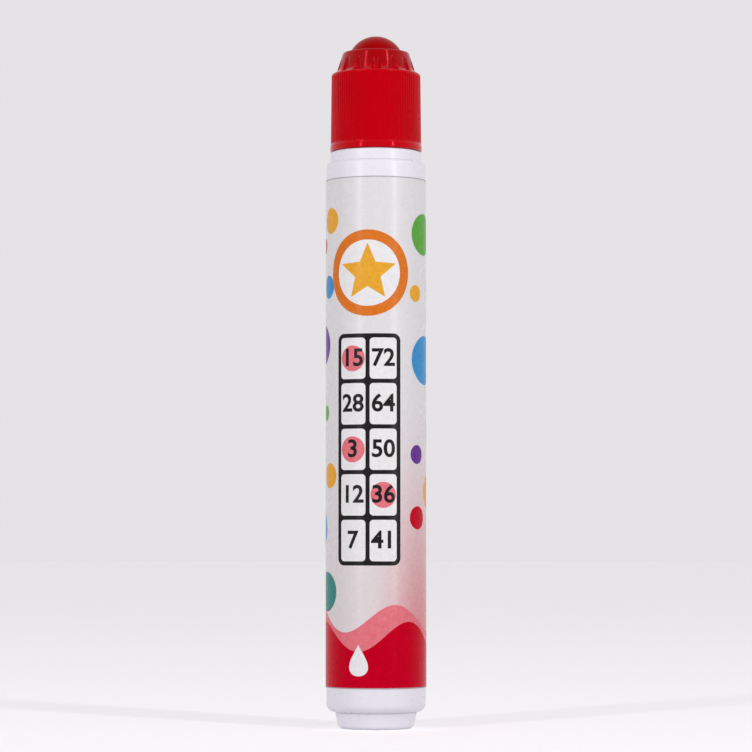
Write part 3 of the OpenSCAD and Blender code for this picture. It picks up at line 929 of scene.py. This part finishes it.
def flat_print(shapes, numerals, strip=0.5, weld=0.001):
    """Flat mesh of shapes and (number, u, v, size) numerals, cut into upright strips that can be bent."""
    flat = bmesh.new()
    for shape in shapes:
        flat.faces.new([flat.verts.new((u, v, 0)) for u, v in shape])
    for words, u, v, size in numerals:
        mesh = numeral_mesh(words, size, u, v)
        flat.from_mesh(mesh)
        bpy.data.meshes.remove(mesh)
    bmesh.ops.remove_doubles(flat, verts=flat.verts, dist=weld)
    flat.normal_update()
    bmesh.ops.triangulate(flat, faces=flat.faces)
    low = min(vert.co.x for vert in flat.verts)
    high = max(vert.co.x for vert in flat.verts)
    for k in range(1, math.ceil((high - low) / strip)):
        everything = [*flat.verts, *flat.edges, *flat.faces]
        bmesh.ops.bisect_plane(flat, geom=everything, plane_co=(low + k * strip, 0, 0), plane_no=(1, 0, 0))
    flat.verts.index_update()
    return flat


def print_piece(name, ink, layer, shapes=(), numerals=()):
    """Print of one ink, bent round the label; a layer's number is its thickness in films of ink."""
    film = 0.012
    flat = flat_print(shapes, numerals)
    bm = bmesh.new()
    sides = []
    for r in (LABEL_R - film, LABEL_R + layer * film):
        sides.append([bm.verts.new(at(r, vert.co.x / LABEL_R, vert.co.y)) for vert in flat.verts])
    back, front = sides
    for face in flat.faces:
        bm.faces.new([front[vert.index] for vert in face.verts])
        bm.faces.new([back[vert.index] for vert in reversed(face.verts)])
    for edge in flat.edges:
        if edge.is_boundary:
            first, last = (vert.index for vert in edge.verts)
            bm.faces.new((front[first], back[first], back[last], front[last]))
    flat.free()
    bmesh.ops.recalc_face_normals(bm, faces=bm.faces)
    return piece(name, bm, PRINTS[ink], "barrel")


def print_cards(cards, daubed):
    """A card of number tiles, some daubed, under a star badge, at each of some places round the label."""
    tile_w = 5.2
    tile_h = 7.8
    tile_round = 0.7
    gap = 0.8
    card_low = 31.0
    card_round = 1.4
    number_size = 4.6
    daub_d = 4.9
    badge_rise = 11.5
    badge_d = 16.4
    badge_field_d = 12.6
    star_d = 11.4
    rows = max(len(numbers) for numbers in cards.values())
    card_w = 2 * tile_w + 3 * gap
    card_h = rows * tile_h + (rows + 1) * gap
    panels, tiles, daubs, numerals = [], [], [], []
    for card_u, numbers in cards.items():
        panels.append(tile(card_u, card_low + card_h / 2, card_w, card_h, card_round))
        for row, pair in enumerate(numbers):
            v = card_low + gap + tile_h / 2 + row * (tile_h + gap)
            for column, number in enumerate(pair):
                u = card_u + (column - 0.5) * (tile_w + gap)
                tiles.append(tile(u, v, tile_w, tile_h, tile_round))
                numerals.append((number, u, v, number_size))
                if number in daubed:
                    daubs.append(disc(u, v, daub_d))
    badges = [(u, card_low + card_h + badge_rise) for u in cards]
    print_piece("print_cards", "black", 1, panels)
    print_piece("print_tiles", "white", 2, tiles + [disc(u, v, badge_field_d) for u, v in badges])
    print_piece("print_daubs", "pink", 3, daubs)
    print_piece("print_numbers", "black", 4, numerals=numerals)
    print_piece("print_badges", "orange", 1, [disc(u, v, badge_d) for u, v in badges])
    print_piece("print_stars", "amber", 3, [star(u, v, star_d) for u, v in badges])


def print_bands():
    """A wave of ink all round the label's foot, and thin grey lines of painted shadow along the label's
    top and bottom edges.
    """
    margin = 0.02
    edge_w = 0.18
    low = LABEL_LOW + margin
    high = LABEL_HIGH - margin - edge_w
    print_piece("print_wave_pale", "pink", 1, band(low, 21.0, swing=2.6, phase=0.4))
    print_piece("print_wave", "red", 2, band(low, 17.6, swing=2.8, phase=-0.5))
    # Painted shadow: thin grey bands along the film's cut edges
    for name, v in (("foot", low), ("head", high)):
        print_piece(f"painted_edge_shadow_{name}", "grey", 3, band(v, v + edge_w))


def label_print():
    """A generic number-card design: two cards of tiles, a star badge, loose dots and a wave of ink."""
    drop_aside = 1.8
    drop_v = 13.2
    drop_h = 6.0
    cards = {
        -1.6: [("7", "41"), ("12", "36"), ("3", "50"), ("28", "64"), ("15", "72")],
        28.6: [("9", "44"), ("21", "57"), ("5", "38"), ("18", "60"), ("26", "75")],
    }
    print_cards(cards, daubed={"36", "3", "15", "21", "60"})
    dots = {
        "green": [(11.5, 94.0, 8.0), (-13.0, 60.0, 3.0), (17.5, 34.0, 5.0)],
        "blue": [(12.2, 70.0, 9.4), (-11.6, 84.0, 4.4), (-16.0, 38.0, 7.0)],
        "teal": [(-12.4, 26.0, 7.6), (16.6, 56.0, 4.6)],
        "purple": [(9.0, 52.0, 3.6), (-14.6, 73.0, 7.4), (17.6, 84.0, 5.6)],
        "amber": [(8.6, 82.6, 3.2), (-11.0, 48.0, 4.8), (14.6, 45.0, 6.2), (-10.6, 96.6, 5.0)],
        "red": [(9.2, 40.0, 4.4), (-14.2, 92.0, 3.0), (18.8, 70.0, 3.4)],
    }
    for ink, places in dots.items():
        print_piece(f"print_dots_{ink}", ink, 1, [disc(u, v, d) for u, v, d in places])
    print_bands()
    print_piece("print_drops", "white", 3, [drop(u - drop_aside, drop_v, drop_h) for u in cards])


# Stage


def stand(made, at_place=(0, 0, 0), turn=(0, 0, 0)):
    """Put a camera or a lamp in the scene."""
    made.location = at_place
    made.rotation_euler = turn
    bpy.context.scene.collection.objects.link(made)


def floor(radius, glow):
    bm = bmesh.new()
    bmesh.ops.create_circle(bm, cap_ends=True, radius=radius, segments=128)
    mesh = bpy.data.meshes.new("floor")
    bm.to_mesh(mesh)
    bm.free()
    made = bpy.data.objects.new("floor", mesh)
    mesh.materials.append(pale_floor("floor", srgb(238, 236, 238), srgb(235, 233, 235), glow))
    bpy.context.scene.collection.objects.link(made)


def world(level, overhead, strength, backdrop):
    """Light of some strength from all round that fades overhead, and a pale backdrop in view."""
    fade_low = 0.1
    fade_high = 0.9
    made = bpy.data.worlds.new("studio")
    bpy.context.scene.world = made
    made.use_nodes = True
    nodes = Nodes(made.node_tree, "Background")
    fade = nodes.range(nodes.place("Z", "Generated"), fade_low, fade_high, 0.0, 1.0)
    ambient = nodes.mix(fade, level, overhead)
    in_view = nodes.in_view()
    nodes.join(nodes.mix(in_view, ambient, backdrop), "Color")
    nodes.join(nodes.range(in_view, 0.0, 1.0, strength, 1.0), "Strength")


def strip_lamp(name, azimuth, power, distance=0.6, width=0.03, height=0.9):
    """An upright strip of light that faces the object, at an azimuth to the right of the camera."""
    light = bpy.data.lights.new(name, "AREA")
    light.shape = "RECTANGLE"
    light.size = width
    light.size_y = height
    light.energy = power
    turn = math.radians(azimuth)
    foot = (distance * math.sin(turn), -distance * math.cos(turn), height / 2)
    stand(bpy.data.objects.new(name, light), foot, (math.pi / 2, 0, turn))


def front_lamp(azimuth, elevation, softness, strength):
    """Soft light from above the camera, alike over the whole floor."""
    light = bpy.data.lights.new("front", "SUN")
    light.angle = math.radians(softness)
    light.energy = strength
    turn = (math.radians(90 - elevation), 0, math.radians(azimuth))
    stand(bpy.data.objects.new("front", light), turn=turn)


def camera(distance, height, aim_height, lens):
    """The view from the front, level with the object's lower third."""
    made = bpy.data.objects.new("camera", bpy.data.cameras.new("camera"))
    made.data.lens = lens
    made.data.sensor_width = 36.0
    made.data.clip_start = 0.01
    eye = Vector((0, -distance, height))
    aim = Vector((0, 0, aim_height))
    stand(made, eye, (aim - eye).to_track_quat("-Z", "Y").to_euler())
    bpy.context.scene.camera = made


bpy.context.scene.view_settings.view_transform = "Standard"
camera(distance=0.6, height=0.0364, aim_height=0.0672, lens=150.0)
floor(radius=4.0, glow=0.49)
world(srgb(254, 253, 255), overhead=srgb(80, 79, 82), strength=1.1, backdrop=srgb(230, 227, 230))
front_lamp(azimuth=8, elevation=20, softness=120, strength=0.12)
strip_lamp("key_strip", azimuth=43, power=1.6)
strip_lamp("fill_strip", azimuth=-38, power=1.3)

barrel()
end_plug()
neck_fitting()
tip_ring()
sponge_tip()
valve_spring()
cap()
cap_seal()
label_film()
label_print()

inner_finishes = {
    "ink_fill": INK,
    "valve_housing": NATURAL_PLASTIC,
    "valve_stem": NATURAL_PLASTIC,
    "nib_carrier": NATURAL_PLASTIC,
    "valve_seal": RUBBER,
}
for node, finish in inner_finishes.items():
    frame["nodes"][node].data.materials.clear()
    frame["nodes"][node].data.materials.append(finish)
